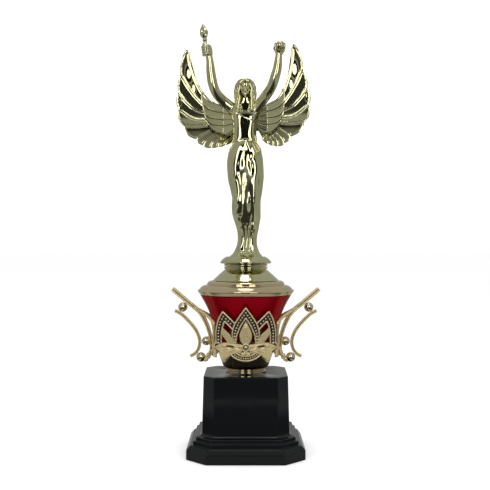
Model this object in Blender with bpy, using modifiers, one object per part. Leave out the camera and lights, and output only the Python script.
"""Figure trophy: a winged figure with a torch on a riser, over a lidded red cup with an
openwork crown and two handles, on a black stepped base. A threaded rod clamps the stack.

Each piece of the real trophy is one named object. Units are metres, +Z is up, the front
faces -Y, and the origin is the centre of the underside.
"""

import math

import bmesh
import bpy
from mathutils import Matrix, Vector

MM = 0.001
GAP = 0.3 * MM  # clearance that touching pieces keep

# Base: an octagon, which is a square with cut corners, swept up a stepped profile
FOOT_HALF = 51.0 * MM
FOOT_FLAT_HALF = 33.2 * MM  # half the length of the foot's straight front edge
CORNER_GROWTH = math.tan(math.radians(22.5))  # how the flat lengthens as the outline grows
BASE_TOP = 70.2 * MM
BLOCK_TOP_HALF = 36.4 * MM
BLOCK_FOOT_HALF = 37.7 * MM
COVE_TOP = 21.8 * MM
COVE_HALF = 42.8 * MM
COVE_BOTTOM = 19.1 * MM
SECOND_STEP_HALF = 45.4 * MM
SECOND_STEP_TOP = 15.7 * MM
FOOT_BEVEL_TOP = 12.0 * MM
FOOT_BEVEL_HALF = 47.8 * MM
FOOT_FACE_TOP = 8.1 * MM
PLATE_TOP = 12.0 * MM
PLATE_THICKNESS = 3.0 * MM
PLATE_HALF = 42.5 * MM

# Threaded rod and its fasteners (M6)
ROD_RADIUS = 3.0 * MM
ROD_HOLE = 3.4 * MM
ROD_BOTTOM = 1.6 * MM
ROD_TOP = 171.6 * MM
NUT_HEIGHT = 5.0 * MM
NUT_RADIUS = 5.77 * MM  # across the corners of a 10 mm hexagon
WASHER_RADIUS = 9.0 * MM
WASHER_THICKNESS = 1.2 * MM

# Heights in the clamped stack
FOOT_RIM = 88.6 * MM
CROWN_RING_TOP = 90.4 * MM
CUP_RIM = 138.9 * MM
LID_TOP = 151.3 * MM
RISER_TOP = 164.1 * MM
PLINTH_BOTTOM = 164.4 * MM
PLINTH_TOP = 173.4 * MM

# The figure stands on the plinth, turned a little to its right
FIGURE_TURN = math.radians(-11.5)
TORCH_TIP = 380.0 * MM
WING_ROOT = Vector((6.0, 14.2, 298.0)) * MM
FLAT_REACH = 7.0  # how far out from its root a wing stays nearly flat, in mm
SWING_REACH = 32.0  # how far out it goes on swinging forward, in mm
WING_THICKNESS = 2.2 * MM
COVERT_THICKNESS = 2.6 * MM
COVERT_LIFT = 1.1 * MM
PEG_RADIUS = 1.6 * MM
PEG_LENGTH = 10.0 * MM

# Crown and handles
MEDALLION_RADIUS = 40.0 * MM  # how the medallion bows round the cup, seen from above
MEDALLION_THICKNESS = 1.8 * MM
HANDLE_PLATE_INNER = 28.3 * MM
HANDLE_PLATE_THICKNESS = 1.6 * MM

LATHE_STEPS = 32


# ---------------------------------------------------------------- scene and materials

def clear_scene():
    for thing in list(bpy.data.objects):
        bpy.data.objects.remove(thing, do_unlink=True)


def make_collection(name):
    collection = bpy.data.collections.new(name)
    bpy.context.scene.collection.children.link(collection)
    return collection


def make_material(name, colour, metallic, roughness):
    material = bpy.data.materials.new(name)
    material.use_nodes = True
    shader = material.node_tree.nodes["Principled BSDF"]
    shader.inputs["Base Color"].default_value = (*colour, 1.0)
    shader.inputs["Metallic"].default_value = metallic
    shader.inputs["Roughness"].default_value = roughness
    return material


def add_piece(name, mesh, material):
    """A visible sub-part of the trophy."""
    piece = bpy.data.objects.new(name, mesh)
    PARTS.objects.link(piece)
    if material:
        piece.data.materials.clear()
        piece.data.materials.append(material)
    return piece


def add_helper(name, mesh):
    """A cutter or a shape to be joined, which is not a sub-part itself."""
    helper = bpy.data.objects.new(name, mesh)
    HELPERS.objects.link(helper)
    helper.hide_render = True
    helper.display_type = "WIRE"
    return helper


# ---------------------------------------------------------------- modelling tools

def mesh_from(work, name):
    bmesh.ops.recalc_face_normals(work, faces=work.faces)
    mesh = bpy.data.meshes.new(name)
    work.to_mesh(mesh)
    work.free()
    return mesh


def loft(name, rings, cap=True):
    """A skin through rings of equal count, each a list of points, closed at both ends."""
    work = bmesh.new()
    loops = []
    for ring in rings:
        verts = [work.verts.new(point) for point in ring]
        pairs = zip(verts, verts[1:] + verts[:1])
        loops.append([work.edges.new(pair) for pair in pairs])
    for lower, upper in zip(loops, loops[1:]):
        bmesh.ops.bridge_loops(work, edges=lower + upper)
    if cap:
        bmesh.ops.holes_fill(work, edges=loops[0] + loops[-1])
    return mesh_from(work, name)


def lathe(name, profile, steps=LATHE_STEPS):
    """The evaluated mesh of a closed (radius, height) profile in mm, turned by a Screw modifier."""
    work = bmesh.new()
    verts = [work.verts.new((r * MM, 0.0, z * MM)) for r, z in profile]
    for pair in zip(verts, verts[1:] + verts[:1]):
        work.edges.new(pair)
    outline = bpy.data.meshes.new(name + "_profile")
    work.to_mesh(outline)
    work.free()
    turned = bpy.data.objects.new(name + "_profile", outline)
    HELPERS.objects.link(turned)
    screw = turned.modifiers.new("Turn", "SCREW")
    screw.steps = screw.render_steps = steps
    screw.use_merge_vertices = True
    screw.merge_threshold = 0.00001
    return evaluated_mesh(turned, name)


def evaluated_mesh(thing, name):
    """The mesh of an object with its modifiers applied. The object is removed."""
    bpy.context.view_layer.update()
    graph = bpy.context.evaluated_depsgraph_get()
    mesh = bpy.data.meshes.new_from_object(thing.evaluated_get(graph))
    mesh.name = name
    mesh.transform(thing.matrix_world)
    bpy.data.objects.remove(thing)
    work = bmesh.new()
    work.from_mesh(mesh)
    bmesh.ops.remove_doubles(work, verts=work.verts, dist=0.000005)
    bmesh.ops.recalc_face_normals(work, faces=work.faces)
    work.to_mesh(mesh)
    work.free()
    return mesh


def tube(name, points, radii, sides_level=2):
    """A solid bar along points, with a radius at each one."""
    curve = bpy.data.curves.new(name, "CURVE")
    curve.dimensions = "3D"
    curve.bevel_depth = 1.0
    curve.bevel_resolution = sides_level
    curve.use_fill_caps = True
    spline = curve.splines.new("POLY")
    spline.points.add(len(points) - 1)
    for target, point, radius in zip(spline.points, points, radii):
        target.co = (*point, 1.0)
        target.radius = radius
    thing = bpy.data.objects.new(name, curve)
    HELPERS.objects.link(thing)
    return evaluated_mesh(thing, name)


def smooth_path(points, per_span=4):
    """Points on a Catmull-Rom curve through the given ones."""
    found = []
    for i in range(len(points) - 1):
        before = points[max(i - 1, 0)]
        here, there = points[i], points[i + 1]
        after = points[min(i + 2, len(points) - 1)]
        for step in range(per_span):
            t = step / per_span
            found.append(
                0.5 * (2 * here + (there - before) * t
                       + (2 * before - 5 * here + 4 * there - after) * t * t
                       + (3 * here - before - 3 * there + after) * t ** 3)
            )
    return found + [points[-1].copy()]


def ball(name, centre, radius, segments=14, stretch=(1, 1, 1)):
    work = bmesh.new()
    scaling = Matrix.Diagonal((*stretch, 1.0))
    bmesh.ops.create_uvsphere(
        work, u_segments=segments, v_segments=segments // 2, radius=radius,
        matrix=Matrix.Translation(centre) @ scaling,
    )
    return mesh_from(work, name)


def cylinder(name, radius, bottom, top, segments, centre=(0.0, 0.0)):
    work = bmesh.new()
    bmesh.ops.create_cone(
        work, cap_ends=True, segments=segments, radius1=radius, radius2=radius,
        depth=top - bottom,
        matrix=Matrix.Translation((*centre, (top + bottom) / 2)),
    )
    return mesh_from(work, name)


def combine(piece, helper, operation):
    modifier = piece.modifiers.new(helper.name, "BOOLEAN")
    modifier.operation = operation
    modifier.solver = "EXACT"
    modifier.object = helper


def cut(piece, mesh):
    combine(piece, add_helper(piece.name + "_cutter", mesh), "DIFFERENCE")


def join(piece, mesh):
    combine(piece, add_helper(piece.name + "_addition", mesh), "UNION")


def cut_rod_hole(piece, bottom, top, radius=ROD_HOLE):
    cut(piece, cylinder(piece.name + "_rod_hole", radius, bottom, top, 16))


def table_value(table, z):
    """The row of numbers at height z, read between the rows of a table that rises in z."""
    for low, high in zip(table, table[1:]):
        if z <= high[0]:
            t = (z - low[0]) / (high[0] - low[0])
            t = min(max(t, 0.0), 1.0)
            return [a + (b - a) * t for a, b in zip(low[1:], high[1:])]
    return list(table[-1][1:])


# ---------------------------------------------------------------- base

def octagon(half, z):
    """The base's outline at a height: a square of that half width with its corners cut."""
    flat = FOOT_FLAT_HALF - (FOOT_HALF - half) * CORNER_GROWTH
    quarter = [(half, -flat), (half, flat)]
    ring = []
    for turn in range(4):
        for x, y in quarter:
            for _ in range(turn):
                x, y = -y, x
            ring.append((x, y, z))
    return ring


def cove_profile(steps=4):
    """(half width, height) down the quarter-round hollow under the block."""
    reach, drop = COVE_HALF - BLOCK_FOOT_HALF, COVE_TOP - COVE_BOTTOM
    angles = [math.pi / 2 * i / steps for i in range(steps + 1)]
    return [
        (COVE_HALF - reach * math.cos(a), COVE_TOP - drop * math.sin(a)) for a in angles
    ]


def build_base_shell():
    """A hollow moulded shell, open below, with a shoulder inside that the weight plate meets."""
    outside = [
        (FOOT_HALF, 0.0),
        (FOOT_HALF, FOOT_FACE_TOP),
        (FOOT_BEVEL_HALF, FOOT_BEVEL_TOP),
        (SECOND_STEP_HALF, FOOT_BEVEL_TOP),
        (SECOND_STEP_HALF, SECOND_STEP_TOP),
        (COVE_HALF, SECOND_STEP_TOP),
        *reversed(cove_profile()),
        (BLOCK_TOP_HALF, BASE_TOP - 0.8 * MM),
        (BLOCK_TOP_HALF - 0.8 * MM, BASE_TOP),
    ]
    wall = 3.0 * MM
    shoulder = PLATE_TOP + GAP
    inside = [
        (FOOT_HALF - wall, -1.0 * MM),
        (FOOT_HALF - wall, 7.5 * MM),
        (PLATE_HALF + 0.5 * MM, 7.6 * MM),
        (PLATE_HALF + 0.5 * MM, shoulder),
        (COVE_HALF - wall, shoulder + 0.01 * MM),
        (COVE_HALF - wall, 17.0 * MM),
        (BLOCK_FOOT_HALF - wall, 17.1 * MM),
        (BLOCK_TOP_HALF - wall, BASE_TOP - wall),
    ]
    shell = add_piece("base_shell", loft("base_shell", [octagon(*o) for o in outside]), BLACK)
    cut(shell, loft("base_cavity", [octagon(*o) for o in inside]))
    cut_rod_hole(shell, BASE_TOP - 2 * wall, BASE_TOP + wall)


def build_weight_plate():
    """The steel plate that closes the base, keeps it heavy and takes the rod's pull."""
    rings = [octagon(PLATE_HALF, PLATE_TOP - PLATE_THICKNESS), octagon(PLATE_HALF, PLATE_TOP)]
    plate = add_piece("weight_plate", loft("weight_plate", rings), STEEL)
    cut_rod_hole(plate, PLATE_TOP - 2 * PLATE_THICKNESS, PLATE_TOP + PLATE_THICKNESS)


def build_fasteners():
    add_piece("threaded_rod", cylinder("threaded_rod", ROD_RADIUS, ROD_BOTTOM, ROD_TOP, 16), STEEL)
    washer_top = PLATE_TOP - PLATE_THICKNESS - GAP
    washer_bottom = washer_top - WASHER_THICKNESS
    washer = add_piece(
        "base_washer", cylinder("base_washer", WASHER_RADIUS, washer_bottom, washer_top, 24), STEEL
    )
    cut_rod_hole(washer, washer_bottom - MM, washer_top + MM)
    nut_top = washer_bottom - GAP
    build_nut("base_nut", nut_top - NUT_HEIGHT, nut_top)
    build_nut("figure_nut", PLINTH_BOTTOM + 0.6 * MM, PLINTH_BOTTOM + 0.6 * MM + NUT_HEIGHT)


def build_nut(name, bottom, top):
    nut = add_piece(name, cylinder(name, NUT_RADIUS, bottom, top, 6), STEEL)
    cut_rod_hole(nut, bottom - MM, top + MM)


# ---------------------------------------------------------------- cup, lid and riser

def build_cup_foot():
    """The gold foot: two rings on the base's top, then a bowl that the cup stands in."""
    gap = GAP / MM
    bottom = BASE_TOP / MM + gap
    rim = FOOT_RIM / MM
    profile = [
        (24.4, rim), (23.4, 84.8), (21.8, 80.2), (20.3, 76.3), (17.4, 73.6), (17.4, 72.9),
        (16.7, 72.2), (17.8, 71.8), (17.8, bottom), (15.6, bottom), (15.6, 73.2), (18.4, 76.6),
        (21.4, 84.8), (22.4, rim),
    ]
    add_piece("cup_foot", lathe("cup_foot", profile), GOLD)


def build_cup():
    """A thin cup with a floor that the rod runs through, and a spigot that centres it."""
    wall = 1.8
    outside = [
        (40.5, CUP_RIM / MM), (37.8, 134.1), (34.3, 127.4), (31.5, 120.6), (28.8, 112.5),
        (27.3, 104.8), (25.8, 96.0), (24.7, CROWN_RING_TOP / MM + 0.3),
    ]
    spigot = [(21.2, 90.7), (21.2, 86.0), (19.4, 86.0)]
    floor_above, floor_below = 92.5, 90.7
    hub = ROD_HOLE / MM
    inside = [(r - wall, z) for r, z in reversed(outside) if z > 93.0]
    profile = (
        outside + spigot
        + [(19.4, floor_below), (hub, floor_below), (hub, floor_above), (22.9, floor_above)]
        + inside
    )
    add_piece("cup", lathe("cup", profile), RED)


def build_lid():
    """A stepped lid on the cup's rim, with a skirt inside the mouth and a top for the riser."""
    hub = ROD_HOLE / MM
    profile = [
        (hub, 151.3), (29.6, 151.3), (31.4, 151.1), (32.8, 150.5), (34.2, 149.3), (34.8, 147.9),
        (36.9, 147.4), (39.1, 146.3), (41.3, 144.4), (42.9, 142.7), (42.4, 141.6),
        (40.6, 139.2), (37.9, 139.2), (36.3, 135.6), (35.1, 135.6), (36.4, 140.4),
        (39.4, 142.9), (38.0, 144.4), (33.6, 146.2), (31.4, 149.3), (hub, 149.3),
    ]
    add_piece("lid", lathe("lid", profile), GOLD)


def build_figure_riser():
    """The cone with two bead rings that the figure's plinth turns on."""
    hub = ROD_HOLE / MM
    bottom = LID_TOP / MM + 0.3
    top = RISER_TOP / MM
    profile = [
        (hub, top), (18.4, top), (19.4, 163.6), (19.4, 162.9), (18.6, 162.5), (19.3, 161.9),
        (19.1, 161.1), (20.6, 160.2), (23.6, 157.5), (26.3, 155.0), (28.6, 152.6),
        (29.5, bottom), (27.3, bottom), (24.0, 155.0), (18.6, 160.0), (16.9, 162.2), (hub, 162.2),
    ]
    add_piece("figure_riser", lathe("figure_riser", profile), GOLD)


# ---------------------------------------------------------------- crown and handles

def cup_clearance(z):
    """How far in front of the axis the medallion's back stands at a height, to clear the cup."""
    rows = [
        (80.0, 28.3), (92.0, 28.4), (100.0, 29.0), (108.0, 30.4), (116.0, 32.6),
        (123.0, 35.4), (131.0, 39.6),
    ]
    return table_value(rows, z / MM)[0] * MM


def bow(point, lift=0.0):
    """Carries a flat (x, height) point onto the medallion's curved, flaring surface."""
    x, z = point
    sag = MEDALLION_RADIUS - math.sqrt(MEDALLION_RADIUS ** 2 - x * x)
    return Vector((x, -(cup_clearance(z) + lift - sag), z))


def medallion_outline():
    """Half of the lotus outline in mm, from the bottom round the right to the top point."""
    disc_centre, disc_radius = 101.7, 18.9
    arc = []
    for degrees in (-90, -75, -60, -47):
        angle = math.radians(degrees)
        arc.append((disc_radius * math.cos(angle), disc_centre + disc_radius * math.sin(angle)))
    ribbon = [(18.6, 83.4), (22.9, 86.2), (23.4, 89.0), (24.4, 90.6)]
    leaf = [(27.4, 94.2), (26.4, 97.6)]
    side_petal = [(26.6, 104.0), (26.0, 111.0), (24.0, 118.6), (20.3, 125.5)]
    valley = [(9.3, 115.8)]
    centre_petal = [(5.4, 122.0), (0.0, 129.4)]
    return arc + ribbon + leaf + side_petal + valley + centre_petal


MEDALLION_WINDOWS = (
    [(13.2, 112.6), (19.2, 107.6), (19.8, 112.0), (17.6, 117.4)],
    [(15.6, 98.6), (20.2, 98.6), (20.2, 104.4)],
    [(5.2, 99.0), (8.2, 99.0), (7.2, 106.0), (4.6, 113.0), (5.6, 105.0)],
)


def flat_plate(name, outline, depth):
    """A flat outline in mm in the XZ plane, given as half of a mirrored shape, as a solid."""
    curve = bpy.data.curves.new(name, "CURVE")
    curve.dimensions = "2D"
    curve.fill_mode = "BOTH"
    curve.extrude = depth / 2
    spline = curve.splines.new("POLY")
    spline.points.add(len(outline) - 1)
    for target, (x, z) in zip(spline.points, outline):
        target.co = (x * MM, z * MM, 0.0, 1.0)
    spline.use_cyclic_u = True
    thing = bpy.data.objects.new(name, curve)
    HELPERS.objects.link(thing)
    return evaluated_mesh(thing, name)


def bend_plate(mesh, spacing=5.0 * MM, reach=30.0 * MM):
    """Cuts a flat plate into strips and bows it, its flat depth becoming the lift off the cup."""
    work = bmesh.new()
    work.from_mesh(mesh)
    count = int(reach / spacing)
    for i in range(-count, count + 1):
        everything = work.verts[:] + work.edges[:] + work.faces[:]
        bmesh.ops.bisect_plane(
            work, geom=everything, plane_co=(i * spacing, 0, 0), plane_no=(1, 0, 0), dist=1e-6
        )
    for height in (92, 100, 108, 116, 123):
        everything = work.verts[:] + work.edges[:] + work.faces[:]
        bmesh.ops.bisect_plane(
            work, geom=everything, plane_co=(0, height * MM, 0), plane_no=(0, 1, 0), dist=1e-6
        )
    for vert in work.verts:
        lift = MEDALLION_THICKNESS / 2 - vert.co.z
        vert.co = bow((vert.co.x, vert.co.y), lift)
    bmesh.ops.triangulate(work, faces=work.faces)
    return mesh_from(work, mesh.name)


def build_crown():
    """The ring clamped under the cup, and a lotus medallion in front and behind."""
    bottom, top = FOOT_RIM / MM + 0.3, CROWN_RING_TOP / MM
    inner, outer = 22.1, HANDLE_PLATE_INNER / MM - 0.3
    ring_profile = [(outer, top), (outer, bottom), (inner, bottom), (inner, top)]
    add_piece("crown_ring", lathe("crown_ring", ring_profile), GOLD)

    half = medallion_outline()
    outline = half + [(-x, z) for x, z in reversed(half) if x > 0]
    plate = add_helper("medallion_flat", flat_plate("medallion", outline, MEDALLION_THICKNESS))
    for side in (1, -1):
        for window in MEDALLION_WINDOWS:
            corners = [(x * side, z) for x, z in window]
            opening = flat_plate("medallion_window", corners, 3 * MEDALLION_THICKNESS)
            cut(plate, opening)
    flat = evaluated_mesh(plate, "medallion")
    front = bend_plate(flat)
    back = front.copy()
    back.transform(Matrix.Rotation(math.pi, 4, "Z"))
    add_piece("crown_front", front, GOLD_SATIN)
    add_piece("crown_back", back, GOLD_SATIN)


INNER_BAR = [
    (64.6, 144.1), (58.2, 137.7), (49.2, 130.4), (41.0, 124.2), (36.0, 118.6), (32.6, 111.4),
    (30.8, 103.6), (30.3, 95.6), (31.0, 88.9), (33.0, 84.0), (35.6, 80.6), (37.6, 78.6),
]
OUTER_BAR = [
    (61.6, 124.3), (55.5, 120.4), (48.5, 113.2), (43.1, 106.1), (40.3, 100.1), (39.7, 94.7),
    (41.3, 89.5), (44.3, 86.4), (48.0, 83.8),
]
HANDLE_BALLS = [((55.2, 127.2), 4.3), ((35.0, 97.6), 4.1), ((38.8, 83.6), 4.2)]


def build_handles():
    """Each handle is one moulding: a root plate round the cup, two bars and three balls."""
    outer = HANDLE_PLATE_INNER + HANDLE_PLATE_THICKNESS
    angles = [math.radians(a) for a in range(-30, 31, 10)]
    heights = (84.5 * MM, 98.0 * MM, 107.0 * MM)
    rings = []
    for z in heights:
        spread = 1.0 if z < heights[-1] else 0.55
        out_side = [(outer * math.cos(a * spread), outer * math.sin(a * spread), z) for a in angles]
        in_side = [
            (HANDLE_PLATE_INNER * math.cos(a * spread), HANDLE_PLATE_INNER * math.sin(a * spread), z)
            for a in reversed(angles)
        ]
        rings.append(out_side + in_side)
    handle = add_helper("handle_shape", loft("handle_root", rings))

    def bar(name, points, radii):
        path = smooth_path([Vector((x * MM, 0.0, z * MM)) for x, z in points], 2)
        steps = len(path) - 1
        widths = [table_value(radii, i / steps)[0] * MM for i in range(len(path))]
        return tube(name, path, widths, 1)

    join(handle, bar("inner_bar", INNER_BAR, [(0.0, 2.3), (0.45, 2.6), (1.0, 1.9)]))
    join(handle, bar("outer_bar", OUTER_BAR, [(0.0, 1.9), (0.5, 1.6), (1.0, 2.0)]))
    for (x, z), radius in HANDLE_BALLS:
        join(handle, ball("handle_ball", Vector((x, 0.0, z)) * MM, radius * MM, 12))
    left = evaluated_mesh(handle, "handle_left")
    right = left.copy()
    right.transform(Matrix.Rotation(math.pi, 4, "Z"))
    add_piece("handle_left", left, GOLD_SATIN)
    add_piece("handle_right", right, GOLD_SATIN)


# ---------------------------------------------------------------- figure

# height, left edge, right edge, front, back of the gowned body, in mm
BODY_ROWS = [
    (172.0, -13.5, 14.5, -13.5, 13.5), (175.5, -10.9, 12.2, -11.5, 12.0),
    (180.0, -8.9, 10.7, -9.5, 10.0), (187.8, -7.0, 9.7, -8.5, 8.5),
    (196.7, -7.6, 11.2, -9.5, 8.5), (205.7, -10.4, 13.0, -11.5, 9.0),
    (214.6, -12.1, 13.2, -13.5, 9.0), (223.6, -11.9, 13.5, -13.0, 9.2),
    (232.5, -13.6, 14.8, -12.2, 10.0), (245.9, -16.2, 16.3, -11.5, 12.0),
    (254.9, -16.8, 16.1, -11.0, 12.8), (263.8, -15.9, 14.9, -10.2, 11.8),
    (271.9, -13.7, 12.4, -9.2, 9.2), (279.1, -11.3, 9.5, -8.2, 6.8),
    (286.2, -11.3, 9.6, -8.6, 6.8), (292.5, -12.3, 10.8, -10.4, 7.2),
    (299.7, -13.3, 11.9, -10.4, 7.8), (305.5, -13.4, 12.4, -7.6, 7.6),
    (309.5, -9.6, 9.0, -5.2, 6.2), (312.5, -4.4, 4.0, -3.8, 4.4), (317.0, -3.8, 3.4, -3.6, 4.0),
]

RIGHT_ARM = [  # raises the torch, on the viewer's left; x, y, z and radius in mm
    (-10.0, 0.0, 304.0, 5.2), (-14.5, -1.5, 307.8, 4.8), (-19.6, -5.0, 312.6, 4.5),
    (-24.6, -9.0, 317.6, 4.2), (-28.6, -11.6, 324.2, 4.1), (-30.6, -12.4, 332.0, 4.0),
    (-31.5, -12.8, 340.0, 3.4), (-32.2, -13.0, 347.6, 2.6),
]
RIGHT_HAND = [(-32.2, -13.0, 347.6, 2.6), (-34.2, -13.4, 352.0, 4.2), (-36.0, -13.8, 358.0, 4.0)]
LEFT_ARM = [
    (9.4, 0.0, 305.0, 5.0), (13.4, -1.5, 309.4, 4.7), (18.2, -5.0, 314.4, 4.4),
    (23.4, -9.0, 320.0, 4.1), (26.2, -11.6, 327.4, 4.0), (27.7, -12.4, 335.4, 3.6),
    (29.0, -12.8, 343.2, 3.0), (29.4, -13.0, 348.6, 2.6),
]
LEFT_HAND = [(29.4, -13.0, 348.6, 2.6), (30.0, -13.3, 353.0, 3.6), (30.6, -13.6, 357.0, 4.6)]
LAUREL_BALL = ((31.0, -13.8, 360.6), 4.1)
TORCH = [
    (-36.6, -13.6, 354.0, 1.6), (-37.2, -13.8, 361.0, 1.9), (-37.0, -13.8, 363.6, 1.7),
    (-37.0, -13.8, 366.4, 3.1), (-37.2, -13.8, 369.4, 3.0), (-37.6, -13.8, 371.6, 3.5),
    (-38.2, -13.8, 374.6, 3.7), (-38.8, -13.8, 377.6, 2.5), (-39.2, -13.8, TORCH_TIP / MM, 0.7),
]


def oval_ring(left, right, front, back, z, count=20):
    """A smooth closed section with its own reach to each side, in mm."""
    ring = []
    for i in range(count):
        angle = 2 * math.pi * i / count
        along, across = math.cos(angle), math.sin(angle)
        x = (left + right) / 2 + (right - left) / 2 * along
        y = (front + back) / 2 + (back - front) / 2 * across
        ring.append((x * MM, y * MM, z * MM))
    return ring


def limb(name, rows):
    points = smooth_path([Vector(row) for row in rows], 2)
    return tube(name, [p.to_3d() * MM for p in points], [p[3] * MM for p in points])


def build_figure_body():
    """Gowned body, head, hair, raised arms and torch, fused into one moulding with its plinth."""
    pieces = [
        loft("gown", [oval_ring(*row[1:], row[0]) for row in BODY_ROWS]),
        ball("head", Vector((-0.4, -1.4, 321.6)) * MM, 1.0, 16, Vector((7.0, 8.2, 10.4)) * MM),
        ball("hair", Vector((-0.4, 1.2, 321.0)) * MM, 1.0, 16, Vector((8.7, 8.6, 11.6)) * MM),
        limb("right_arm", RIGHT_ARM),
        limb("right_hand", RIGHT_HAND),
        limb("left_arm", LEFT_ARM),
        limb("left_hand", LEFT_HAND),
        limb("torch", TORCH),
        ball("laurel_ball", Vector(LAUREL_BALL[0]) * MM, LAUREL_BALL[1] * MM, 12),
    ]
    for side in (-1, 1):
        lock = [(side * 7.6, 0.0, 324.0, 2.0), (side * 8.2, -1.5, 313.0, 2.6),
                (side * 7.6, -6.0, 304.5, 1.6)]
        pieces.append(limb("hair_lock", lock))
    work = bmesh.new()
    for mesh in pieces:
        work.from_mesh(mesh)
    fused = add_helper("figure_fused", mesh_from(work, "figure_fused"))
    remesh = fused.modifiers.new("Fuse", "REMESH")
    remesh.mode = "VOXEL"
    remesh.voxel_size = 0.9 * MM
    soften = fused.modifiers.new("Soften", "SMOOTH")
    soften.iterations = 3
    thin = fused.modifiers.new("Thin", "DECIMATE")
    thin.ratio = 0.055
    statue = evaluated_mesh(fused, "figure_body")
    statue.transform(Matrix.Rotation(FIGURE_TURN, 4, "Z"))
    body = add_piece("figure_body", statue, GOLD)
    bottom, top = PLINTH_BOTTOM / MM, PLINTH_TOP / MM
    plinth = [
        (7.0, top - 0.2), (15.4, top - 0.2), (18.7, 172.4), (20.9, 170.8), (22.5, 169.0),
        (22.9, 167.6), (22.3, 166.2), (20.6, 165.0), (18.6, bottom), (7.0, bottom),
    ]
    profile = [(0.0001, top - 0.2)] + plinth[1:-1] + [(0.0001, bottom)]
    join(body, lathe("plinth", profile))
    nut_pocket = cylinder("nut_pocket", NUT_RADIUS + 2 * GAP, bottom * MM - MM, ROD_TOP + MM, 6)
    cut(body, nut_pocket)
    for side in (-1, 1):
        cut(body, wing_peg(side, PEG_RADIUS + GAP, 1.0 * MM))


# ---------------------------------------------------------------- wings

# height, inner edge and outer edge of a wing, in mm from the figure's middle
WING_ROWS = [
    (270.0, 25.6, 33.4), (273.0, 18.2, 38.6), (275.7, 14.5, 41.2), (279.9, 9.0, 46.8),
    (284.1, 6.0, 51.8), (292.8, 4.0, 57.0), (301.3, 5.0, 59.4), (307.0, 10.0, 59.9),
    (309.8, 26.0, 60.0), (318.4, 34.8, 58.0), (326.8, 39.6, 57.2), (335.1, 41.8, 54.8),
    (343.3, 43.4, 52.9), (351.5, 45.2, 49.6), (354.0, 45.8, 47.4),
]
# height, inner edge and outer edge of the short feathers that lie over the long ones
COVERT_ROWS = [
    (280.5, 12.0, 18.0), (284.0, 6.0, 26.4), (290.0, 5.0, 31.8), (298.0, 5.5, 34.9),
    (306.0, 9.0, 36.4), (311.0, 27.0, 37.2), (316.5, 33.6, 37.3),
]


def wing_depth(x, z):
    """The wing swings forward beside the body, then spreads sideways; its top and bottom lean forward."""
    out, up = (x - WING_ROOT.x) / MM, (z - WING_ROOT.z) / MM
    spread = bent(out - SWING_REACH)
    swing = bent(out - FLAT_REACH) - spread
    forward = swing + 0.08 * spread + 0.29 * bent(up - 1.0) + 0.20 * bent(-8.0 - up)
    return WING_ROOT.y - forward * MM


def bent(distance, softness=3.0):
    """Zero below zero and the distance itself above, with a soft bend between, in mm."""
    return softness * math.log1p(math.exp(distance / softness))


def wing_sheet(name, rows, lift, thickness, columns=7):
    """A curved sheet between a wing's inner and outer edge, made solid."""
    work = bmesh.new()
    grid = []
    for z, inner, outer in rows:
        line = []
        for i in range(columns):
            x = (inner + (outer - inner) * i / (columns - 1)) * MM
            line.append(work.verts.new((x, wing_depth(x, z * MM) - lift, z * MM)))
        grid.append(line)
    for low, high in zip(grid, grid[1:]):
        for i in range(columns - 1):
            work.faces.new((low[i], low[i + 1], high[i + 1], high[i]))
    sheet = bpy.data.objects.new(name, mesh_from(work, name))
    HELPERS.objects.link(sheet)
    solid = sheet.modifiers.new("Thickness", "SOLIDIFY")
    solid.thickness = thickness
    solid.offset = 0.0
    return evaluated_mesh(sheet, name)


def wing_peg(side, radius, extra):
    """The peg that plugs a wing into the figure's back, already turned with the figure."""
    work = bmesh.new()
    length = PEG_LENGTH + extra
    middle = Vector((side * WING_ROOT.x, WING_ROOT.y - 0.5 * MM - length / 2, WING_ROOT.z))
    place = Matrix.Translation(middle) @ Matrix.Rotation(math.pi / 2, 4, "X")
    bmesh.ops.create_cone(
        work, cap_ends=True, segments=12, radius1=radius, radius2=radius, depth=length,
        matrix=Matrix.Rotation(FIGURE_TURN, 4, "Z") @ place,
    )
    return mesh_from(work, "wing_peg")


def build_wings():
    feathers = wing_sheet("feathers", WING_ROWS, 0.0, WING_THICKNESS)
    coverts = wing_sheet("coverts", COVERT_ROWS, COVERT_LIFT, COVERT_THICKNESS)
    for name, side in (("wing_left", 1), ("wing_right", -1)):
        placing = Matrix.Rotation(FIGURE_TURN, 4, "Z") @ Matrix.Diagonal((side, 1, 1, 1))
        shapes = []
        for source in (feathers, coverts):
            shape = source.copy()
            shape.transform(placing)
            if side < 0:
                shape.flip_normals()
            shapes.append(shape)
        wing = add_piece(name, shapes[0], GOLD)
        join(wing, shapes[1])
        join(wing, wing_peg(side, PEG_RADIUS, 0.0))


# ---------------------------------------------------------------- assembly

clear_scene()
PARTS = make_collection("figure_trophy")
HELPERS = make_collection("helpers")

GOLD = make_material("gold_plating", (0.60, 0.56, 0.40), 1.0, 0.08)
GOLD_SATIN = make_material("gold_satin_plating", (0.66, 0.55, 0.33), 1.0, 0.28)
RED = make_material("red_plating", (0.42, 0.0, 0.01), 0.8, 0.15)
BLACK = make_material("black_plastic", (0.006, 0.007, 0.008), 0.0, 0.12)
STEEL = make_material("zinc_plated_steel", (0.55, 0.55, 0.56), 1.0, 0.35)

build_base_shell()
build_weight_plate()
build_fasteners()
build_cup_foot()
build_cup()
build_lid()
build_figure_riser()
build_crown()
build_handles()
build_figure_body()
build_wings()
